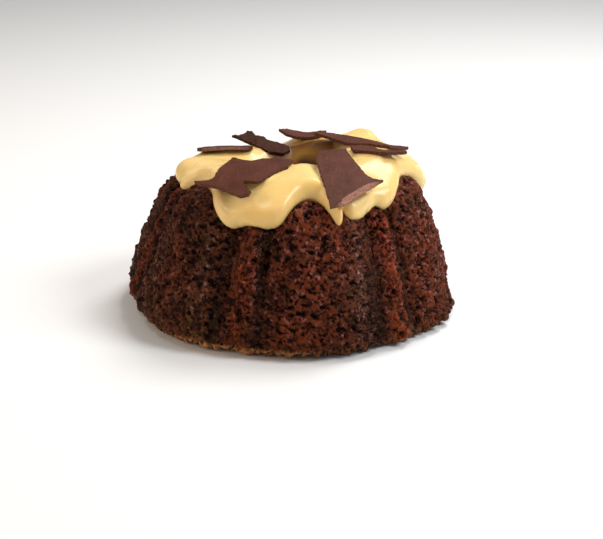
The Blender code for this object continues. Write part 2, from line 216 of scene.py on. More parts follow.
# Swells and dimples in the poured top: angle, reach, height, width.
SWIRLS = [
    (131.0, 3.0, 1.8, 2.0),
    (140.0, 3.0, 1.5, 2.2),
    (6.0, -8.0, 2.0, 4.2),
    (97.0, 11.0, 1.4, 4.5),
    (176.0, -1.0, 1.2, 2.6),
    (-163.0, 1.0, -2.3, 4.2),
    (-85.0, 6.0, -0.7, 1.6),
    (18.6, 12.4, 1.2, 1.5),
    (-118.0, 0.0, 0.7, 5.0),
    (-95.0, 5.0, 2.0, 4.0),
    (-33.0, 8.0, -0.7, 3.4),
    (-10.0, 7.0, 0.5, 6.0),
    (55.0, 4.0, 0.6, 7.0),
    (-150.0, -9.0, 0.5, 5.0),
]
# The icing rises to a chocolate piece over it: all the way across the smaller gap, not at all
# across the larger one, and it goes into the piece by a hair.
PRESS_MEETS, PRESS_GAP = 0.45, 1.7
PRESS_INTO = 0.06
PRESS_BELOW = 1.0  # the search for a piece starts this far down in the icing
PRESS_SKIRT = 12  # how many points away from a piece the raised icing fades out
PRESS_FADE = 0.98

# Broken chocolate: middle of the top face, turns about X, Y and Z, and corners in its own plane.
# "bend" is how fast it curls down, or up if negative, both ways along the angle "bend_turn".
# "lip" is a slanted break: the side it faces, its half-width in degrees and how far it slopes.
# "rough" makes the top face uneven, "dark" paints shade over it, and "thick" is its own thickness.
SHARDS = {
    "a": {
        "centre": (-12.8, -24.0, 47.7),
        "turns": (9.0, -5.0, 0.0),
        "bend": 0.006,
        "bend_turn": 60.0,
        "corners": [
            (-14.4, -1.0), (-10.5, -1.4), (-9.1, -0.5), (-7.5, 5.6), (-4.8, 10.8), (-4.0, 13.3),
            (-2.9, 13.2), (-0.5, 10.7), (1.8, 10.0), (4.7, 11.6), (10.8, 12.0), (13.9, 9.9),
            (12.2, 3.7), (8.8, 0.6), (4.8, -4.9), (3.7, -5.6), (-0.2, -4.4), (0.1, -7.4),
            (1.8, -10.6), (1.2, -12.0), (-1.3, -12.4), (-4.7, -8.9), (-9.0, -5.1), (-12.7, -3.1),
        ],
    },
    "b": {
        "centre": (14.5, -27.7, 47.5),
        "turns": (19.0, 4.0, 0.0),
        "bend": 0.003,
        "bend_turn": 100.0,
        "lip": (-38.0, 30.0, 1.9),
        "corners": [
            (-7.1, 12.9), (-6.5, 14.2), (1.3, 16.2), (3.2, 10.7), (5.4, 6.1), (6.8, 2.8),
            (8.7, 1.0), (11.8, 0.7), (7.8, -3.8), (0.8, -11.5), (-3.3, -13.4), (-3.6, -10.5),
            (-5.6, -0.7), (-6.8, 5.8), (-7.4, 8.4),
        ],
    },
    "c": {
        "centre": (-19.6, 10.8, 46.5),
        "turns": (-12.0, -0.6, 2.0),
        "bend": 0.004,
        "thick": 1.1,
        "lip": (-100.0, 50.0, 0.8),
        "dark": 0.65,
        "corners": [
            (-8.8, -1.6), (-7.4, -5.2), (-4.4, -4.4), (-1.0, -3.9), (3.0, -3.0), (6.0, -2.6),
            (7.8, -1.4), (8.2, 1.2), (6.8, 2.6), (3.4, 2.6), (0.6, 3.6), (-3.4, 3.4),
            (-6.2, 2.8),
        ],
    },
    "d": {
        "centre": (-7.2, 16.5, 46.0),
        "turns": (14.0, 5.0, 0.0),
        "rough": 0.3,
        "dark": 0.9,
        "corners": [
            (-11.0, 3.2), (-7.6, 4.5), (-6.5, 6.9), (-4.9, 6.9), (-3.6, 4.5), (-1.1, 4.3),
            (0.2, 2.3), (3.6, 1.2), (6.9, -0.6), (7.3, -3.2), (5.4, -5.4), (1.1, -5.5),
            (-3.7, -1.6), (-6.2, -0.1),
        ],
    },
    "e": {
        "centre": (4.0, 22.5, 47.2),
        "turns": (-3.0, 2.5, -4.0),
        "bend": -0.027,
        "corners": [
            (-7.6, -1.0), (-5.2, -3.8), (-2.0, -4.4), (1.8, -4.0), (5.0, -4.4), (7.4, -2.6),
            (7.2, 1.6), (5.2, 4.2), (1.4, 3.6), (-2.0, 4.6), (-5.4, 3.8), (-6.6, 1.2),
        ],
    },
    "f": {
        "centre": (26.1, -10.5, 51.0),
        "turns": (-4.0, 1.0, 0.0),
        "corners": [
            (-8.4, 6.2), (-5.0, 7.0), (-1.8, 5.6), (-0.4, 2.0), (1.2, 0.8), (4.6, 0.3),
            (7.4, 0.2), (7.8, -1.0), (6.6, -2.0), (4.4, -2.4), (2.0, -3.4), (-1.2, -2.8),
            (-4.8, -1.4), (-8.0, -0.8),
        ],
    },
    "g": {
        "centre": (19.5, 5.6, 50.15),
        "turns": (0.0, -1.8, -42.0),
        "corners": [
            (-15.0, 0.6), (-11.0, 1.8), (-5.0, 2.2), (1.0, 2.4), (7.0, 1.6), (14.2, 0.4),
            (16.2, 1.4), (18.8, 1.9), (19.2, -0.8), (18.6, -2.6), (15.6, -2.4), (13.4, -1.2),
            (10.0, -1.8), (6.5, -2.8), (3.5, -4.8), (0.5, -5.2), (-4.0, -4.0), (-8.0, -2.8),
            (-12.0, -2.0), (-15.0, -1.4),
        ],
    },
}
SHARD_THICK = 0.9  # of the pieces that have none of their own
SHARD_SEED = 13.7  # each piece's noise starts this much after the last one's
SHARD_STEP = 0.35  # spacing of the points round a broken edge
SHARD_GRID = 0.8  # spacing of the points inside a face
BREAK_ROUGH, BREAK_IN = 0.24, 0.4  # how far a broken edge strays from its line, mostly inward
BREAK_LAYERS = [(1.1, 1.0, 0.0), (0.45, 0.6, 7.0)]
RIPPLE, RIPPLE_SIZE = 0.06, 3.0
ROUGH_SIZE, ROUGH_SHIFT = 1.2, 3.0
SIDE_ROWS = [0.1, 0.35, 0.65, 0.9]  # rows of points down a piece's side, as shares of it
SIDE_UNEVEN, SIDE_GRAIN, SIDE_SHIFT = 0.05, 0.5, 9.0
EDGE_ROUND = 0.07
SHARP_FROM = 38.0
FACING_SPAN = 3  # points each way that an outline's direction is taken over
LIP_FADE = 12.0
LIP_EASE = 9  # points over which a lip's slope and direction even out

# Colours of the crumb are linear: dark to light in broad clouds, and what is mixed into them.
CRUMB_SHADES = [
    (0.34, (0.045, 0.0140, 0.0032)),
    (0.50, (0.071, 0.0150, 0.0034)),
    (0.66, (0.112, 0.0228, 0.0042)),
]
# Light crumb flecks, which also stand in for painted glints.
CRUMB_SPECK_GLINT = (0.20, 0.072, 0.046)
CRUMB_RED = (0.112, 0.022, 0.007)
# Painted reddish bounce light.
CRUMB_BOUNCE_LIGHT = (0.16, 0.056, 0.010)
# Painted shade in the fine pits.
CRUMB_PIT_SHADE = (0.24, 0.17, 0.15)
# Painted shade deep in the pores.
CRUMB_PORE_SHADE = (0.010, 0.0016, 0.0007)
# Painted tones, mostly painted light and shade, multiply the crumb's colour; the crust covers it.
CRUMB_TONES = [
    # Ridges: partly the crust's own redder colour, partly painted light.
    ("ridge", "MULTIPLY", (1.45, 1.15, 1.05)),
    # Painted shade in the valleys.
    ("valley_shade", "MULTIPLY", (0.40, 0.48, 0.48)),
    # Painted bluish sheen on the sides that face right.
    ("cool_sheen", "MULTIPLY", (1.05, 1.40, 1.9)),
    # Painted light on the lit side and on the top of the front lobe.
    ("pale", "MULTIPLY", (1.85, 1.80, 2.6)),
    ("crust", "MIX", (0.56, 0.245, 0.092)),
]
PIT_STRAY = 0.0022  # how far the fine pits stray from their even places

ICING_SHADES = [(0.3, (0.87, 0.59, 0.21)), (0.7, (0.91, 0.655, 0.275))]
# Painted shade deep in the hole, from where it starts to its lowest end, lighter partway down.
HOLE_SHADE_COLOURS = [
    (0.30, (0.12, 0.038, 0.001)),
    (0.60, (0.15, 0.055, 0.0015)),
    (0.86, (0.25, 0.12, 0.002)),
    (0.95, (0.16, 0.058, 0.001)),
    (1.00, (0.03, 0.007, 0.0005)),
]

CHOCOLATE_SHADES = [(0.35, (0.072, 0.0215, 0.012)), (0.65, (0.107, 0.0325, 0.019))]
CHOCOLATE_DUST = (0.18, 0.072, 0.050)
CHOCOLATE_SCRATCH = (0.15, 0.060, 0.042)
SCRATCHES = (1800.0, 130.0, 500.0)  # to the metre: long along one line, narrow across it
SCRATCH_TURN = (0.0, 0.0, 0.6)
BROKEN_SHADES = [(0.35, (0.070, 0.024, 0.014)), (0.65, (0.140, 0.056, 0.036))]
# Lighter colour of a slanted break: partly broken chocolate, partly painted light.
LIP_LIT_BREAK_SHADES = [(0.35, (0.23, 0.096, 0.064)), (0.65, (0.37, 0.180, 0.126))]
# Painted shade over a whole piece.
PIECE_SHADE_TINT = (0.42, 0.36, 0.24)

# Camera: it looks down at the cake's foot from the front.
CAMERA_HEIGHT_ANGLE = 21.0
CAMERA_AWAY = 0.45
CAMERA_LENS = 86.75
CAMERA_SENSOR = 36.0
CAMERA_SHIFT = (0.0187, 0.0522)
CAMERA_CLIP = 0.01

# Lights: azimuth from the front toward +X, height angle, distance, size, power, colour.
LIGHTS = {
    "key": (140.0, 58.0, 0.6, 0.30, 2.6, (1.0, 0.98, 0.95)),
    "right": (72.0, 44.0, 0.6, 0.25, 2.1, (0.96, 0.98, 1.0)),
    "gloss": (-80.0, 66.0, 0.6, 0.10, 0.30, (1.0, 0.99, 0.97)),
    "left": (-72.0, 25.0, 0.6, 0.30, 1.0, (1.0, 0.78, 0.56)),
}
LIGHTS_AIM_HEIGHT = 0.025
WORLD_LIGHT = 0.28
FLOOR_HALF = 2000.0  # in millimetres


def smooth(t):
    """0 up to t = 0, 1 from t = 1, and a smooth rise between them."""
    t = np.clip(t, 0.0, 1.0)
    return t * t * (3.0 - 2.0 * t)


def hill(off, wide):
    """1 where off is 0, falling smoothly to 0 on both sides."""
    return np.exp(-((off / wide) ** 2))


def turned(angle, centre):
    """The angle from centre, between -180 and 180."""
    return (angle - centre + 180.0) % 360.0 - 180.0


def facing(angle, side):
    """1 at the angle of that side, falling to 0 opposite it."""
    return 0.5 + 0.5 * np.cos(np.radians(turned(angle, side)))


def from_lobe(angle):
    """The angle from the middle of the nearest lobe."""
    return (angle - FLUTE_TURN + FLUTE_SPACING / 2) % FLUTE_SPACING - FLUTE_SPACING / 2


def lobe(angle):
    """0 at the top of a wide lobe, about -0.7 in the valleys, partly up again on a ridge."""
    off = np.abs(from_lobe(angle))
    inside = np.sqrt(1.0 - LOBE_ROUND * np.minimum(off / LOBE_HALF, 1.0) ** 2) - 1.0
    ridge = RIDGE_RISE * np.maximum(off - LOBE_HALF, 0.0) / (FLUTE_SPACING / 2 - LOBE_HALF)
    return inside + ridge


def soft_lobe(angle):
    """The lobe form evened out, as thick icing would."""
    shares = [-1.0, -0.5, 0.0, 0.5, 1.0]
    return sum(lobe(angle + share * SOFTEN) for share in shares) / len(shares)


def lobe_mix(angle):
    """(wall swell, foot swell, extra height) at each angle, blended from lobe to lobe."""
    mix = [0.0, 0.0, 0.0]
    for centre, own in LOBES.items():
        off = np.minimum(np.abs(turned(angle, centre)) * FLUTES / 4, 90.0)
        share = np.cos(np.radians(off)) ** 2
        mix = [total + share * value for total, value in zip(mix, own)]
    return mix


def profile_table():
    """Rows of (reach, radius, height, flute share) from the hole's floor to the outer floor."""
    stations = np.array(OUTER + INNER)
    rows = []
    for index in range(len(stations) - 1):
        a = stations[max(index - 1, 0)]
        b = stations[index]
        c = stations[index + 1]
        d = stations[min(index + 2, len(stations) - 1)]
        for part in range(PROFILE_PARTS):
            t = part / PROFILE_PARTS
            line = (c - a) * t
            curve = (2 * a - 5 * b + 4 * c - d) * t**2
            cubic = (3 * b - a - 3 * c + d) * t**3
            rows.append(0.5 * (2 * b + line + curve + cubic))
    rows.append(stations[-1])
    rows = np.array(rows)
    steps = np.hypot(*np.diff(rows[:, :2], axis=0).T)
    along = np.concatenate([[0.0], np.cumsum(steps)])
    reach = along[(len(OUTER) - 1) * PROFILE_PARTS] - along
    return np.column_stack([reach, rows])[::-1]


TABLE = profile_table()
HOLE_FLOOR_REACH, FLOOR_REACH = TABLE[0, 0], TABLE[-1, 0]
OUTWARD_R = np.gradient(TABLE[:, 2]) * -1.0
OUTWARD_Z = np.gradient(TABLE[:, 1])
OUTWARD_LONG = np.hypot(OUTWARD_R, OUTWARD_Z)


def at_reach(reach):
    """(radius, height, flute share, outward direction) of the profile."""
    found = [np.interp(reach, TABLE[:, 0], TABLE[:, column]) for column in (1, 2, 3)]
    out_r = np.interp(reach, TABLE[:, 0], OUTWARD_R / OUTWARD_LONG)
    out_z = np.interp(reach, TABLE[:, 0], OUTWARD_Z / OUTWARD_LONG)
    return (*found, out_r, out_z)


def placed(angle, radius, height):
    """Points in the leaning cake."""
    turn = np.radians(angle)
    x = radius * np.sin(turn)
    y = -radius * np.cos(turn)
    lift = smooth(height / RIM_LIFT_FROM)
    lift = lift * (1.0 - smooth((height - RIM_LIFT_FROM) / (RIM_LIFT_GONE - RIM_LIFT_FROM)))
    return np.stack([x + height * LEAN, y, height - x * RIM_LIFT * lift], axis=-1)


def on_sponge(angle, reach, out=0.0, softened=0.0):
    """Points of the smooth sponge form, or that far out from it."""
    radius, height, flute, out_r, out_z = at_reach(reach)
    form = lobe(angle)
    form = form + (soft_lobe(angle) - form) * softened
    radius = radius + form * FLUTE_DEPTH * flute
    wall, foot, crown = lobe_mix(angle)
    swell = foot + (wall - foot) * smooth(height / FOOT_HEIGHT)
    swell = swell * smooth((radius - SWELL_FROM) / (SWELL_FULL - SWELL_FROM))
    crown = crown * smooth((height - CROWN_FROM) / (CROWN_FULL - CROWN_FROM))
    return placed(angle, radius + swell + out_r * out, height + crown + out_z * out)


def drip_reach(angle):
    """The icing's outward reach at each angle: a smooth curve through DRIPS."""
    knots = np.array(DRIPS)
    around = np.concatenate([knots[-2:] - (360, 0), knots, knots[:3] + (360, 0)])
    starts, values = around[:, 0], around[:, 1]
    angle = turned(angle, 0.0)
    index = np.clip(np.searchsorted(starts, angle, side="right") - 1, 1, len(starts) - 3)
    wide = starts[index + 1] - starts[index]
    share = (angle - starts[index]) / wide
    slope = (values[2:] - values[:-2]) / (starts[2:] - starts[:-2])
    leave = slope[index - 1] * wide
    arrive = slope[index] * wide
    turn_in = share**3 - 2 * share**2 + share
    turn_out = share**3 - share**2
    rise = 3 * share**2 - 2 * share**3
    step = values[index + 1] - values[index]
    return values[index] + step * rise + turn_in * leave + turn_out * arrive


def edge_tree():
    """The icing's two edges on the sponge form, as points to search."""
    angles = np.linspace(-180.0, 180.0, FINE_TURNS, endpoint=False)
    outer = on_sponge(angles, drip_reach(angles))
    inner = on_sponge(angles, np.full_like(angles, -HOLE_REACH))
    edge = np.concatenate([outer, inner])
    tree = kdtree.KDTree(len(edge))
    for index, point in enumerate(edge):
        tree.insert(point, index)
    tree.balance()
    return tree


EDGE = edge_tree()


def edge_distance(points):
    """How far each point is from the icing's edges, on the sponge form."""
    return np.array([EDGE.find(point)[2] for point in points])


def noise_at(points, size, shift):
    """Smooth noise between -1 and 1 at points in millimetres, in lumps of that size."""
    moved = points.reshape(-1, 3) / size + shift
    found = np.array([noise.noise(Vector(point)) for point in moved])
    return found.reshape(points.shape[:-1])


def layered(points, layers):
    """The sum of several layers of noise."""
    return sum(noise_at(points, size, shift) * high for size, high, shift in layers)


def grid_faces(rings, first=0):
    """Quads between rings of equal length that close on themselves."""
    rows, columns = rings
    row, column = np.meshgrid(np.arange(rows - 1), np.arange(columns), indexing="ij")
    beside = (column + 1) % columns
    corners = (
        row * columns + column,
        (row + 1) * columns + column,
        (row + 1) * columns + beside,
        row * columns + beside,
    )
    return (np.stack(corners, axis=-1).reshape(-1, 4) + first).tolist()


def band_faces(ring, after):
    """Quads between two rings of point numbers."""
    faces = []
    for index in range(len(ring)):
        beside = (index + 1) % len(ring)
        faces.append([ring[index], after[index], after[beside], ring[beside]])
    return faces


def merged_faces(many, few, count):
    """Joins a ring of count * HOLE_SHARE points to a ring of count points below it. The faces
    are laid out for three points of the one to each point of the other."""
    faces = []
    total = count * HOLE_SHARE
    for column in range(count):
        beside = (column + 1) % count
        corners = [many + (column * HOLE_SHARE + step) % total for step in range(HOLE_SHARE + 1)]
        faces.append([corners[0], few + column, corners[1]])
        faces.append([corners[1], few + column, few + beside, corners[2]])
        faces.append([corners[2], few + beside, corners[3]])
    return faces


def mesh_object(name, points, faces, look, sharp=None):
    """An object in the scene, with its mesh in metres."""
    mesh = bpy.data.meshes.new(name)
    mesh.from_pydata([tuple(point) for point in np.asarray(points) * MM], [], faces)
    mesh.shade_smooth()
    if sharp:
        mesh.set_sharp_from_angle(angle=math.radians(sharp))
    mesh.materials.append(look)
    made = bpy.data.objects.new(name, mesh)
    bpy.context.scene.collection.objects.link(made)
    return made


def attribute(piece, name, values):
    """Stores one value for each point, which the looks read by name."""
    made = piece.data.attributes.new(name, "FLOAT", "POINT")
    made.data.foreach_set("value", np.asarray(values, dtype=np.float32))


def pore_depth(points, pore):
    """How deep this kind of pore goes in at each point."""
    warps = [noise_at(points, PORE_WARP_SIZE, shift) for shift in PORE_WARP_SHIFTS]
    strayed = points + np.stack(warps, axis=-1) * PORE_WARP
    moved = strayed / np.array(pore["cell"]) + pore["shift"]
    near, next_near, draw, deep = (np.zeros(len(moved)) for _ in range(4))
    for index, spot in enumerate(moved):
        distances, centres = noise.voronoi(Vector(spot))
        near[index], next_near[index] = distances[0], distances[1]
        draw[index] = 0.5 + 0.5 * noise.cell(centres[0] * OPEN_DRAW)
        deep[index] = PORE_DEEP + PORE_DEEP_VARIES * noise.cell(centres[0] * DEPTH_DRAW)
    size = pore["radius"] * (PORE_LEAST + (1.0 - PORE_LEAST) * draw / pore["open"])
    inside = smooth((size - near) / pore["slope"]) * smooth((next_near - near) / pore["wall"])
    return np.where(draw < pore["open"], inside * deep * pore["depth"], 0.0)


def crumb_relief(points, height, angle):
    """(how far the crumb stands out from the smooth form, how deep in a pore) at each point."""
    deep = np.max([pore_depth(points, pore) for pore in PORES], axis=0)
    beside = smooth((np.abs(turned(angle, 0.0)) - SIDE_FROM) / SIDE_OVER)
    lumps = layered(points, LUMPS) * (1.0 + SIDE_RUGGED * beside)
    rim = 1.0 - smooth((height - RIM_FROM) / (RIM_HEIGHT - RIM_FROM))
    ragged = rim * facing(angle, RIM_RAGGED_AT) * layered(points, RIM_LUMPS)
    return CRUMB_PROUD + lumps + np.minimum(ragged, RIM_PROUD) - deep, deep


def shaped(theta, along):
    """(points, pore depth) of the crumb surface over a grid of angle and reach."""
    base = on_sponge(theta, along)
    side = on_sponge(theta + SLOPE_STEP, along) - on_sponge(theta - SLOPE_STEP, along)
    climb = on_sponge(theta, along + SLOPE_STEP) - on_sponge(theta, along - SLOPE_STEP)
    normal = np.cross(climb, side)
    normal /= np.maximum(np.linalg.norm(normal, axis=-1, keepdims=True), TINY)
    flat = base.reshape(-1, 3)
    height = at_reach(along)[1].reshape(-1)
    relief, deep = crumb_relief(flat, height, theta.reshape(-1))
    edge = drip_reach(theta)
    outer = (along > 0.0) & (along < edge + EDGE_SEARCH)
    away = np.full(along.shape, EDGE_SEARCH)
    away[outer] = edge_distance(base[outer])
    away = np.where(along < edge, 0.0, away).reshape(-1)
    relief = np.minimum(relief, CONTACT_FREE * smooth(away / CONTACT_WIDE) - CONTACT_DEEP)
    fade = smooth(height / FOOT_FADE)
    lowest = CRUMB_CLEAR * fade
    hidden = (along < WALL_TOP_REACH - TINY) & (along > HOLE_TOP_REACH - HIDDEN_PAST)
    fade = np.where(hidden.reshape(-1), 0.0, fade)
    moved = flat + normal.reshape(-1, 3) * (relief * fade)[:, None]
    moved[:, 2] = np.maximum(moved[:, 2], lowest)
    moved[height <= TINY, 2] = 0.0
    return moved, deep * fade


def flute_tones(angle):
    """Three tones at each angle, each 1 on its place and fading to 0 away from it: a narrow ridge,
    the painted shade of the valleys beside it, and painted bluish sheen on a lobe's right side."""
    side = from_lobe(angle)
    off = np.abs(side)
    # Ridges: partly redder crust, partly painted light.
    ridge = smooth((off - LOBE_HALF - RIDGE_TONE_FROM) / RIDGE_TONE_OVER)
    # Painted shade in the valleys, shifted by the light and wider in one.
    wide = VALLEY_SHADE_WIDE + VALLEY_SHADE_WIDER * hill(turned(angle, VALLEY_SHADE_WIDER_AT), VALLEY_SHADE_WIDER_SPREAD)
    middle = LOBE_HALF + np.where(side < 0.0, *VALLEY_SHADE_PAST)
    valley_shade = 1.0 - smooth(np.abs(off - middle) / wide)
    # Painted bluish sheen on the side of each lobe that faces right.
    cool_sheen = sum(share * hill(side - place, spread) for place, spread, share in COOL_SHEEN_BANDS)
    return ridge, valley_shade, cool_sheen


def crumb_tones(angles, points):
    """Each painted tone's share at points that lie in rows over the angles."""
    rows = len(points) // len(angles)
    height = points[:, 2]
    ridge, valley_shade, cool_sheen = (np.tile(tone, rows) for tone in flute_tones(angles))
    crust = 1.0 - smooth((height - CRUST_HEIGHT) / CRUST_FADE)
    spread = hill(turned(angles, CRUST_AT), CRUST_SPREAD)
    crust *= np.tile(CRUST_LEAST + (1.0 - CRUST_LEAST) * spread, rows)
    crust *= np.clip(CRUST_FULL + layered(points, CRUST_PATCHES), 0.0, 1.0)
    crust[: len(angles)] = UNDER_CRUST
    # Painted light on the side that faces the lights, and on the top of the front lobe.
    pale = np.tile(facing(angles, LIT_SIDE_AT) ** 2, rows) * smooth(height / LIT_SIDE_HEIGHT)
    front = np.tile(hill(angles - FLUTE_TURN, FRONT_SPREAD), rows)
    pale += FRONT_LIT * front * smooth((height - FRONT_FROM) / FRONT_OVER)
    # Painted reddish bounce light low on the foot and on the ridges.
    warm_bounce = np.tile(hill(turned(angles, WARM_AT), WARM_SPREAD), rows) + WARM_RIDGE * ridge
    warm_bounce *= 1.0 - smooth((height - WARM_FROM) / WARM_OVER)
    shares = {"ridge": ridge, "valley_shade": valley_shade, "cool_sheen": cool_sheen}
    return shares | {"crust": crust, "pale": pale, "warm_bounce": warm_bounce}


def make_sponge(look):
    """The ring of crumb, closed: up the wall, down the hole and out along the underside."""
    angles = np.arange(WALL_COLUMNS) * 360.0 / WALL_COLUMNS - 180.0
    rows = int((FLOOR_REACH - WALL_TOP_REACH) / WALL_STEP)
    wall = np.linspace(FLOOR_REACH, WALL_TOP_REACH, rows + 1)
    hidden = np.linspace(WALL_TOP_REACH, HOLE_TOP_REACH, HIDDEN_ROWS + 1)[1:]
    reach = np.concatenate([wall, hidden])
    outside = shaped(*np.meshgrid(angles, reach))
    few = angles[::HOLE_SHARE]
    rows = int((HOLE_TOP_REACH - HOLE_FLOOR_REACH) / HOLE_STEP)
    down = np.linspace(HOLE_TOP_REACH, HOLE_FLOOR_REACH, rows + 1)[1:]
    inside = shaped(*np.meshgrid(few, down))
    points, deep = (np.concatenate(both) for both in zip(outside, inside))
    start, end = len(outside[0]), len(points)
    tones = crumb_tones(angles, points[:start])
    rim, hole_rim = points[:WALL_COLUMNS:HOLE_SHARE], points[-len(few):]
    middle = hole_rim * MIDWAY + rim * (1.0 - MIDWAY)
    points = np.concatenate([points, middle])
    faces = grid_faces((len(reach), WALL_COLUMNS))
    faces += merged_faces(start - WALL_COLUMNS, start, len(few))
    faces += grid_faces((len(down), len(few)), start)
    faces += grid_faces((2, len(few)), end - len(few))
    # The rings run up from the floor, so these faces look inward until they are turned round.
    faces = [face[::-1] for face in faces]
    faces += merged_faces(0, end, len(few))
    piece = mesh_object("crumb_ring", points, faces, look)
    # Painted shade in the pores, by their depth.
    pore = np.clip(deep / PORE_SHADE_FULL, 0.0, 1.0)
    attribute(piece, "pore", np.pad(pore, (0, len(middle))))
    for name, tone in tones.items():
        tone = np.pad(tone, (0, len(points) - len(tone)))
        if name == "crust":
            tone[end - len(few):] = UNDER_CRUST
        attribute(piece, name, tone)
    return piece


def icing_columns():
    """Angles round the icing, closer together where its edge runs steeply down."""
    fine = np.linspace(-180.0, 180.0, FINE_TURNS + 1)
    across = np.radians(np.diff(fine)) * COLUMN_RADIUS
    steps = np.hypot(across, np.diff(drip_reach(fine)))
    steps = steps * COLUMNS_BY_EDGE + across * (1.0 - COLUMNS_BY_EDGE)
    along = np.concatenate([[0.0], np.cumsum(steps)])
    wanted = np.arange(ICING_COLUMNS) * along[-1] / ICING_COLUMNS
    return np.interp(wanted, along, fine)


def icing_thickness(theta, along, outer, points):
    """How thick the icing is, before its edges round off."""
    crest = CREST_THICK + (DRIP_THICK - CREST_THICK) * smooth(along / DRIP_OVER)
    down = smooth((-along - HOLE_THICK_FROM) / HOLE_THICK_OVER)
    hole = CREST_THICK + (HOLE_THICK - CREST_THICK) * down
    full = np.where(along >= 0, crest, hole)
    radius = at_reach(along)[0]
    for centre, place, height, wide in SWIRLS:
        across = np.radians(turned(theta, centre)) * radius
        full = full + height * np.exp(-(across**2 + (along - place) ** 2) / (2 * wide**2))
    full = full + layered(points, WAVES)
    return full + POOL * hill(outer - along - POOL_BACK, POOL_WIDE)


def make_icing(look, shards):
    """The poured icing, closed: its top from the hole outward and its underside back again."""
    angles = icing_columns()
    outer = drip_reach(angles)[None, :]
    even = np.linspace(0.0, 1.0, ICING_ROWS + 1)[:, None]
    eased = 0.5 - 0.5 * np.cos(math.pi * even)
    along = -HOLE_REACH + (outer + HOLE_REACH) * (even + (eased - even) * ROWS_EASED)
    theta = np.broadcast_to(angles, along.shape)
    base = on_sponge(theta, along)
    distance = edge_distance(base.reshape(-1, 3)).reshape(along.shape)
    distance[[0, -1]] = 0.0
    rounded = np.sqrt(1.0 - (1.0 - np.clip(distance / BEAD, 0.0, 1.0)) ** 2)
    thick = icing_thickness(theta, along, outer, base) * rounded
    softened = SOFT_AT_EDGE + (1.0 - SOFT_AT_EDGE) * smooth((outer - along) / SOFT_OVER)
    top = on_sponge(theta, along, thick + SEAT * (1.0 - rounded), softened)
    top[..., 2] += pressed(top.reshape(-1, 3), shards)
    ease = SMOOTH_SHARE * smooth(distance / SMOOTH_FROM)[..., None]
    for _ in range(SMOOTH_PASSES):
        top += (around_points(top) - top) * ease
    back = np.linspace(1.0, 0.0, UNDER_ROWS + 2)[1:-1, None]
    under_along = -HOLE_REACH + (outer + HOLE_REACH) * back
    under = on_sponge(np.broadcast_to(angles, under_along.shape), under_along, SEAT)
    points = np.concatenate([top.reshape(-1, 3), under.reshape(-1, 3)])
    rows = ICING_ROWS + 1 + UNDER_ROWS
    faces = grid_faces((rows, ICING_COLUMNS))
    last = (rows - 1) * ICING_COLUMNS
    faces += band_faces(range(last, last + ICING_COLUMNS), range(ICING_COLUMNS))
    piece = mesh_object("poured_icing", points, faces, look)
    # Painted shade deep in the hole, starting higher at the back.
    start = HOLE_SHADE_FROM + HOLE_SHADE_BACK * hill(turned(theta, HOLE_SHADE_BACK_AT), HOLE_SHADE_BACK_SPREAD)
    hole_shade = smooth((start - along + layered(base, HOLE_SHADE_UNEVEN)) / HOLE_SHADE_OVER).reshape(-1)
    attribute(piece, "hole_shade", np.pad(hole_shade, (0, len(points) - len(hole_shade))))
    return piece


def pressed(points, shards):
    """How far the icing rises to any chocolate piece that lies just over it, in rows."""
    verts, faces = [], []
    for shard in shards:
        first = len(verts)
        verts += [vert.co / MM for vert in shard.data.vertices]
        faces += [[first + corner for corner in face.vertices] for face in shard.data.polygons]
    tree = BVHTree.FromPolygons(verts, faces)
    up = Vector((0.0, 0.0, 1.0))
    lift = np.zeros(len(points))
    near = np.zeros(len(points), dtype=bool)
    for index, point in enumerate(points):
        start = Vector(point) - up * PRESS_BELOW
        hit, _, _, far = tree.ray_cast(start, up, PRESS_GAP + PRESS_BELOW)
        if hit is None:
            continue
        gap = far - PRESS_BELOW
        share = 1.0 - smooth((gap - PRESS_MEETS) / (PRESS_GAP - PRESS_MEETS))
        lift[index] = (gap + PRESS_INTO) * share
        near[index] = True
    lift = lift.reshape(-1, ICING_COLUMNS)
    near = near.reshape(lift.shape)
    for _ in range(PRESS_SKIRT):
        lift = np.where(near, lift, around_points(lift) * PRESS_FADE)
    return lift


def around_points(grid):
    """The mean of each point's four neighbours on a grid that closes on itself sideways."""
    sides = np.roll(grid, 1, axis=1) + np.roll(grid, -1, axis=1)
    beyond = np.concatenate([grid[:1], grid, grid[-1:]])
    return (sides + beyond[2:] + beyond[:-2]) / 4.0


def flat_noise(spots, size, seed):
    """Smooth noise at points in a piece's own plane."""
    return np.array([noise.noise(Vector((*(spot / size), seed))) for spot in spots])


def broken_line(corners, seed):
    """The outline with points all along it, straying a little as a break does."""
    corners = np.array(corners)
    after = np.roll(corners, -1, axis=0)
    area = np.sum(corners[:, 0] * after[:, 1] - corners[:, 1] * after[:, 0])
    if area < 0:
        corners = corners[::-1]
        after = np.roll(corners, -1, axis=0)
    spots, outward, ends = [], [], []
    for start, end in zip(corners, after):
        long = np.linalg.norm(end - start)
        count = max(int(round(long / SHARD_STEP)), 1)
        side = np.array([end[1] - start[1], start[0] - end[0]]) / long
        for t in np.arange(count) / count:
            spots.append(start + (end - start) * t)
            outward.append(side)
            ends.append(min(t, 1.0 - t) * long)
    stray = sum(high * flat_noise(spots, size, seed + shift) for size, high, shift in BREAK_LAYERS)
    stray = BREAK_ROUGH * (BREAK_IN + stray) * np.minimum(ends, 1.0)
    return np.array(spots) - np.array(outward) * stray[:, None]


def direction(line, span):
    """The outline's direction at each point, taken over a few points each way."""
    along = np.roll(line, -span, axis=0) - np.roll(line, span, axis=0)
    return along / np.linalg.norm(along, axis=1, keepdims=True)


def inset_line(line, amount, span=1):
    """The outline moved inward by an amount at each point."""
    along = direction(line, span)
    inward = np.column_stack([-along[:, 1], along[:, 0]])
    return line + inward * np.asarray(amount)[:, None]


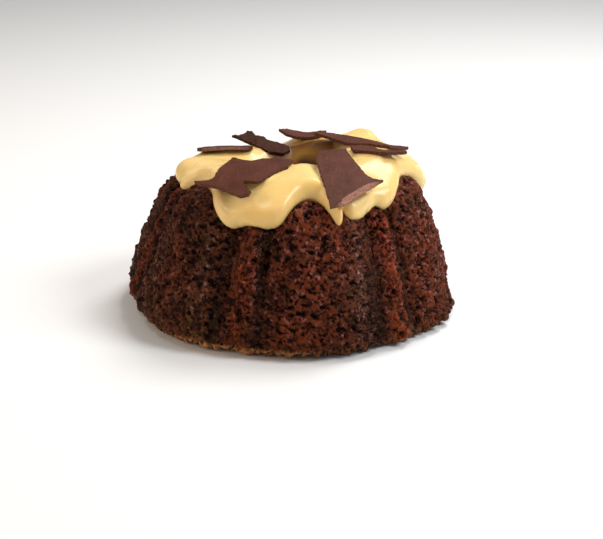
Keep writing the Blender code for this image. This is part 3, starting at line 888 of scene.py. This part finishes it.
def lip_slope(line, lip):
    """How far the break slopes in at each point of an outline: most on the lip's side."""
    if not lip:
        return np.zeros(len(line))
    side, half, slope = lip
    along = direction(line, FACING_SPAN)
    off = np.abs(turned(np.degrees(np.arctan2(-along[:, 0], along[:, 1])), side))
    raw = np.minimum(smooth((half - off) / LIP_FADE) * slope, room_beside(line))
    ends = LIP_EASE // 2
    kernel = np.ones(LIP_EASE) / LIP_EASE
    return np.convolve(np.concatenate([raw[-ends:], raw, raw[:ends]]), kernel, mode="valid")


def room_beside(line):
    """Half the way from each point of an outline to the nearest part that faces another way."""
    along = direction(line, FACING_SPAN)
    away = np.linalg.norm(line[:, None] - line[None, :], axis=2)
    return 0.5 * np.min(np.where(along @ along.T < 0.5, away, np.inf), axis=1)


def filled(line):
    """(points, triangles, the outline's points that each point came from) of a flat face."""
    low, high = line.min(axis=0), line.max(axis=0)
    across, up = (np.arange(a, b, SHARD_GRID) for a, b in zip(low, high))
    half = SHARD_GRID / 2
    spots = []
    for row, v in enumerate(up):
        for u in across:
            spot = np.array([u + (row % 2) * half, v])
            if within(spot, line) and np.min(np.linalg.norm(line - spot, axis=1)) > half:
                spots.append(spot)
    start = [Vector(point) for point in line] + [Vector(spot) for spot in spots]
    ring = list(range(len(line)))
    points, _, faces, came_from, _, _ = geometry.delaunay_2d_cdt(start, [], [ring], 1, 1e-5)
    return np.array([tuple(point) for point in points]), [list(face) for face in faces], came_from


def within(spot, line):
    """Whether a point lies inside an outline."""
    after = np.roll(line, -1, axis=0)
    crosses = (line[:, 1] > spot[1]) != (after[:, 1] > spot[1])
    rise = np.where(after[:, 1] == line[:, 1], 1.0, after[:, 1] - line[:, 1])
    meets = (after[:, 0] - line[:, 0]) * (spot[1] - line[:, 1]) / rise + line[:, 0]
    return np.sum(crosses & (spot[0] < meets)) % 2 == 1


def outline_ring(came_from, count, first=0):
    """The numbers, in a filled face, of the outline's own points."""
    ring = [None] * count
    for index, sources in enumerate(came_from):
        for source in sources:
            if source < count:
                ring[source] = first + index
    return ring


def shard_points(shard, flat, depth, thick, seed):
    """Points of a piece's own plane, bent, rippled, turned and moved to their place."""
    turn = math.radians(shard.get("bend_turn", 0.0))
    along = np.array([math.cos(turn), math.sin(turn)])
    pose = np.array(Euler([math.radians(part) for part in shard["turns"]]).to_matrix())
    ripple = RIPPLE * flat_noise(flat, RIPPLE_SIZE, seed)
    lumps = flat_noise(flat, ROUGH_SIZE, seed + ROUGH_SHIFT)
    ripple += shard.get("rough", 0.0) * lumps * (1.0 - depth / thick)
    low = -shard.get("bend", 0.0) * (flat @ along) ** 2 - depth + ripple
    return np.column_stack([flat, low]) @ pose.T + np.array(shard["centre"])


def make_shard(key, shard, look, seed):
    """One piece of chocolate, closed: its top face, rows round its broken side and its back."""
    thick = shard.get("thick", SHARD_THICK)
    line = broken_line(shard["corners"], seed)
    count = len(line)
    lip = lip_slope(line, shard.get("lip"))
    back = inset_line(line, np.full(count, EDGE_ROUND))
    top, faces, came_from = filled(inset_line(back, lip, LIP_EASE))
    ring = outline_ring(came_from, count)
    # Each row of points with its shares of the broken look and of the lip's.
    rows = [(shard_points(shard, top, 0.0, thick, seed), 0.0, 0.0)]
    first = len(top)
    for share in SIDE_ROWS:
        grain = flat_noise(line, SIDE_GRAIN, share * SIDE_SHIFT + seed)
        middle = min(share * 2, 1.0, 2 - share * 2)
        bulge = EDGE_ROUND * (1.0 - math.sin(math.pi * middle / 2) ** 0.5)
        row = inset_line(line, bulge + SIDE_UNEVEN * grain)
        row = inset_line(row, lip * (1.0 - share), LIP_EASE)
        row = shard_points(shard, row, thick * share, thick, seed)
        rows.append((row, 1.0, np.minimum(lip, 1.0)))
        after = range(first, first + count)
        faces += band_faces(ring, after)
        ring = after
        first += count
    low, low_faces, came_from = filled(back)
    rows.append((shard_points(shard, low, thick, thick, seed), 0.0, 0.0))
    faces += band_faces(ring, outline_ring(came_from, count, first))
    faces += [[first + corner for corner in reversed(face)] for face in low_faces]
    points = np.concatenate([row for row, _, _ in rows])
    piece = mesh_object("chocolate_" + key, points, faces, look, SHARP_FROM)
    for place, name in ((1, "broken"), (2, "lip")):
        values = [np.broadcast_to(row[place], len(row[0])) for row in rows]
        attribute(piece, name, np.concatenate(values))
    # Painted shade over the whole piece.
    attribute(piece, "dark", np.full(len(points), shard.get("dark", 0.0)))
    return piece


def new_look(name):
    """(material, its node tree, its shader)."""
    made = bpy.data.materials.new(name)
    made.use_nodes = True
    tree = made.node_tree
    return made, tree, tree.nodes["Principled BSDF"]


def feed(tree, socket, value):
    """Gives an input its value, or links it to another node's output."""
    if isinstance(value, bpy.types.NodeSocket):
        tree.links.new(value, socket)
    elif socket.type == "RGBA":
        socket.default_value = (*value, 1.0)
    else:
        socket.default_value = value


def node(tree, kind, **settings):
    """A new node; a setting is one of its own properties or else an input."""
    made = tree.nodes.new(kind)
    for key, value in settings.items():
        if hasattr(made, key):
            setattr(made, key, value)
        else:
            feed(tree, made.inputs[key], value)
    return made


def place_of(tree):
    """The place on the piece, in metres."""
    return tree.nodes.new("ShaderNodeTexCoord").outputs["Object"]


def clouds(tree, place, scale, detail=3.0, rough=0.5):
    """Noise of that many lumps to the metre."""
    made = node(tree, "ShaderNodeTexNoise", Vector=place, Scale=scale, Detail=detail, Roughness=rough)
    return made.outputs["Fac"]


def painted(tree, name):
    """A value that was stored on the mesh."""
    return node(tree, "ShaderNodeAttribute", attribute_name=name).outputs["Fac"]


def ramp(tree, source, stops):
    """Colours at places between 0 and 1 of the source."""
    made = node(tree, "ShaderNodeValToRGB", Fac=source)
    while len(made.color_ramp.elements) < len(stops):
        made.color_ramp.elements.new(0.5)
    for element, (place, colour) in zip(made.color_ramp.elements, stops):
        element.position = place
        element.color = (*colour, 1.0)
    return made.outputs["Color"]


def greys(tree, source, low, high, shades=(0.0, 1.0)):
    """One grey up to low of the source, another from high, and a ramp between them."""
    return ramp(tree, source, [(low, (shades[0],) * 3), (high, (shades[1],) * 3)])


def mixed(tree, share, first, second, blend="MIX"):
    """The second colour over the first by a share; each is a value or another node's output."""
    made = node(tree, "ShaderNodeMix", data_type="RGBA", blend_type=blend)
    for number, value in ((0, share), (6, first), (7, second)):
        feed(tree, made.inputs[number], value)
    return made.outputs[2]


def bumped(tree, height, strength, distance, under=None):
    """A normal that follows a height, over another bump if there is one."""
    made = node(tree, "ShaderNodeBump", Strength=strength, Distance=distance, Height=height)
    if under:
        tree.links.new(under, made.inputs["Normal"])
    return made.outputs["Normal"]


def finished(made, tree, shader, colour, rough, normal, specular):
    """The look with its colour, roughness, normal and specular level in place."""
    tree.links.new(colour, shader.inputs["Base Color"])
    tree.links.new(rough, shader.inputs["Roughness"])
    tree.links.new(normal, shader.inputs["Normal"])
    shader.inputs["Specular IOR Level"].default_value = specular
    return made


def sponge_look():
    """Open dark crumb with painted shade in its pits and pores and tones of painted light and shade.
    """
    made, tree, shader = new_look("chocolate_sponge")
    place = place_of(tree)

    def rough_clouds(scale, detail=3.0, rough=0.6):
        return clouds(tree, place, scale, detail, rough)

    base = ramp(tree, rough_clouds(70.0), CRUMB_SHADES)
    # Light crumb flecks, partly painted glints.
    speck_glints = greys(tree, rough_clouds(650.0, detail=2.0), 0.56, 0.7)
    base = mixed(tree, speck_glints, base, CRUMB_SPECK_GLINT)
    reds = greys(tree, rough_clouds(260.0), 0.5, 0.68, (0.0, 0.6))
    base = mixed(tree, reds, base, CRUMB_RED)
    # Painted reddish bounce light in patches, where the mesh holds it.
    bounce_light = greys(tree, rough_clouds(330.0), 0.46, 0.6, (0.0, 0.8))
    bounce_light = mixed(tree, painted(tree, "warm_bounce"), (0.0, 0.0, 0.0), bounce_light)
    base = mixed(tree, bounce_light, base, CRUMB_BOUNCE_LIGHT)
    # Painted light and shade from the tones, and the crust's own colour.
    for name, blend, colour in CRUMB_TONES:
        base = mixed(tree, painted(tree, name), base, colour, blend)

    # Painted shade in the fine pits, which stray a little from their even places.
    strayed = node(tree, "ShaderNodeTexNoise", Vector=place, Scale=420.0, Detail=1.0)
    moved = node(tree, "ShaderNodeVectorMath", operation="MULTIPLY_ADD")
    for number, value in enumerate((strayed.outputs["Color"], (PIT_STRAY,) * 3, place)):
        feed(tree, moved.inputs[number], value)
    cells = node(tree, "ShaderNodeTexVoronoi", Vector=moved.outputs["Vector"], Scale=900.0)
    from_pit = cells.outputs["Distance"]
    shade = ramp(tree, from_pit, [(0.16, CRUMB_PIT_SHADE), (0.46, (1.0, 1.0, 1.0))])
    base = mixed(tree, 1.0, base, shade, "MULTIPLY")
    # Painted shade in the pores.
    base = mixed(tree, painted(tree, "pore"), base, CRUMB_PORE_SHADE)

    rough = greys(tree, rough_clouds(700.0, detail=2.0), 0.3, 0.7, (0.34, 0.62))
    fine = bumped(tree, rough_clouds(1500.0, rough=0.65), 0.55, 0.00035)
    normal = bumped(tree, greys(tree, from_pit, 0.12, 0.44), 0.7, 0.0007, fine)
    return finished(made, tree, shader, base, rough, normal, specular=0.08)


def icing_look():
    """Soft glossy caramel, with painted shade low in the hole and a lighter painted band in it."""
    made, tree, shader = new_look("caramel_icing")
    place = place_of(tree)
    hole_shade = painted(tree, "hole_shade")
    base = ramp(tree, clouds(tree, place, 60.0, detail=2.0), ICING_SHADES)
    # Painted shade low in the hole, with a lighter painted band partway down.
    base = mixed(tree, greys(tree, hole_shade, 0.0, 0.35), base, ramp(tree, hole_shade, HOLE_SHADE_COLOURS))
    shader.inputs["Subsurface Weight"].default_value = 0.7
    shader.inputs["Subsurface Radius"].default_value = (1.0, 0.6, 0.22)
    shader.inputs["Subsurface Scale"].default_value = 0.0012
    skin = clouds(tree, place, 220.0)
    rough = mixed(tree, hole_shade, greys(tree, skin, 0.3, 0.7, (0.20, 0.30)), (0.7, 0.7, 0.7))
    normal = bumped(tree, skin, 0.06, 0.0003)
    return finished(made, tree, shader, base, rough, normal, specular=0.35)


def chocolate_look():
    """Satin chocolate with a little dust and a few scratches, lighter where it is broken, partly
    by painted light, and with painted shade over the darker pieces.
    """
    made, tree, shader = new_look("broken_chocolate")
    place = place_of(tree)
    base = ramp(tree, clouds(tree, place, 140.0), CHOCOLATE_SHADES)
    dust = greys(tree, clouds(tree, place, 1500.0, detail=2.0), 0.6, 0.72, (0.0, 0.4))
    base = mixed(tree, dust, base, CHOCOLATE_DUST)
    stretch = node(tree, "ShaderNodeMapping", Vector=place, Rotation=SCRATCH_TURN, Scale=SCRATCHES)
    streaks = clouds(tree, stretch.outputs["Vector"], 1.0, detail=2.0)
    scratched = greys(tree, streaks, 0.62, 0.72, (0.0, 0.45))
    base = mixed(tree, scratched, base, CHOCOLATE_SCRATCH)
    edge = ramp(tree, clouds(tree, place, 2200.0), BROKEN_SHADES)
    base = mixed(tree, painted(tree, "broken"), base, edge)
    # A slanted break: lighter broken chocolate, partly painted light.
    snapped_and_lit = ramp(tree, clouds(tree, place, 1700.0), LIP_LIT_BREAK_SHADES)
    base = mixed(tree, painted(tree, "lip"), base, snapped_and_lit)
    # Painted shade over the darkened pieces.
    base = mixed(tree, painted(tree, "dark"), base, PIECE_SHADE_TINT, "MULTIPLY")
    rough = greys(tree, clouds(tree, place, 500.0), 0.3, 0.7, (0.48, 0.62))
    normal = bumped(tree, clouds(tree, place, 1300.0), 0.25, 0.0002)
    return finished(made, tree, shader, base, rough, normal, specular=0.08)


def floor_look():
    """Plain pale floor."""
    made, _, shader = new_look("pale_floor")
    shader.inputs["Base Color"].default_value = (0.86, 0.86, 0.86, 1.0)
    shader.inputs["Roughness"].default_value = 0.9
    shader.inputs["Specular IOR Level"].default_value = 0.1
    return made


def in_scene(name, data, place, away):
    """A camera or light at a place, looking back along a direction."""
    made = bpy.data.objects.new(name, data)
    made.location = place
    made.rotation_euler = away.to_track_quat("Z", "Y").to_euler()
    bpy.context.scene.collection.objects.link(made)
    return made


def outward(azimuth, rise):
    """The direction at an azimuth from the front toward +X and an angle above the floor."""
    turn, up = math.radians(azimuth), math.radians(rise)
    return Vector((math.sin(turn) * math.cos(up), -math.cos(turn) * math.cos(up), math.sin(up)))


def make_camera():
    data = bpy.data.cameras.new("camera")
    data.lens = CAMERA_LENS
    data.sensor_width = CAMERA_SENSOR
    data.shift_x, data.shift_y = CAMERA_SHIFT
    data.clip_start = CAMERA_CLIP
    away = outward(0.0, CAMERA_HEIGHT_ANGLE)
    bpy.context.scene.camera = in_scene("camera", data, away * CAMERA_AWAY, away)


def make_lights():
    """Soft studio lights and an even pale surrounding."""
    aimed_at = Vector((0.0, 0.0, LIGHTS_AIM_HEIGHT))
    for name, (azimuth, rise, away, size, power, colour) in LIGHTS.items():
        data = bpy.data.lights.new(name, "AREA")
        data.shape = "DISK"
        data.size = size
        data.energy = power
        data.color = colour
        aim = outward(azimuth, rise)
        in_scene(name, data, aimed_at + aim * away, aim)
    world = bpy.data.worlds.new("studio")
    world.use_nodes = True
    back = world.node_tree.nodes["Background"]
    back.inputs["Color"].default_value = (1.0, 1.0, 1.0, 1.0)
    back.inputs["Strength"].default_value = WORLD_LIGHT
    bpy.context.scene.world = world


def make_floor():
    corners = np.array([(-1, -1, 0), (1, -1, 0), (1, 1, 0), (-1, 1, 0)]) * FLOOR_HALF
    floor = mesh_object("floor", corners, [(0, 1, 2, 3)], floor_look())


def main():
    bpy.context.scene.view_settings.view_transform = "Standard"
    chocolate = chocolate_look()
    shards = []
    for number, (key, shard) in enumerate(SHARDS.items(), start=1):
        piece = make_shard(key, shard, chocolate, SHARD_SEED * number)
        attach(piece, "root")
        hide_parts("shard_" + key)
        shards.append(piece)
    sponge = make_sponge(sponge_look())
    icing = make_icing(icing_look(), shards)
    for piece, name in ((sponge, "sponge"), (icing, "icing")):
        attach(piece, "root")
        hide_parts(name)
    make_floor()
    make_lights()
    make_camera()


main()
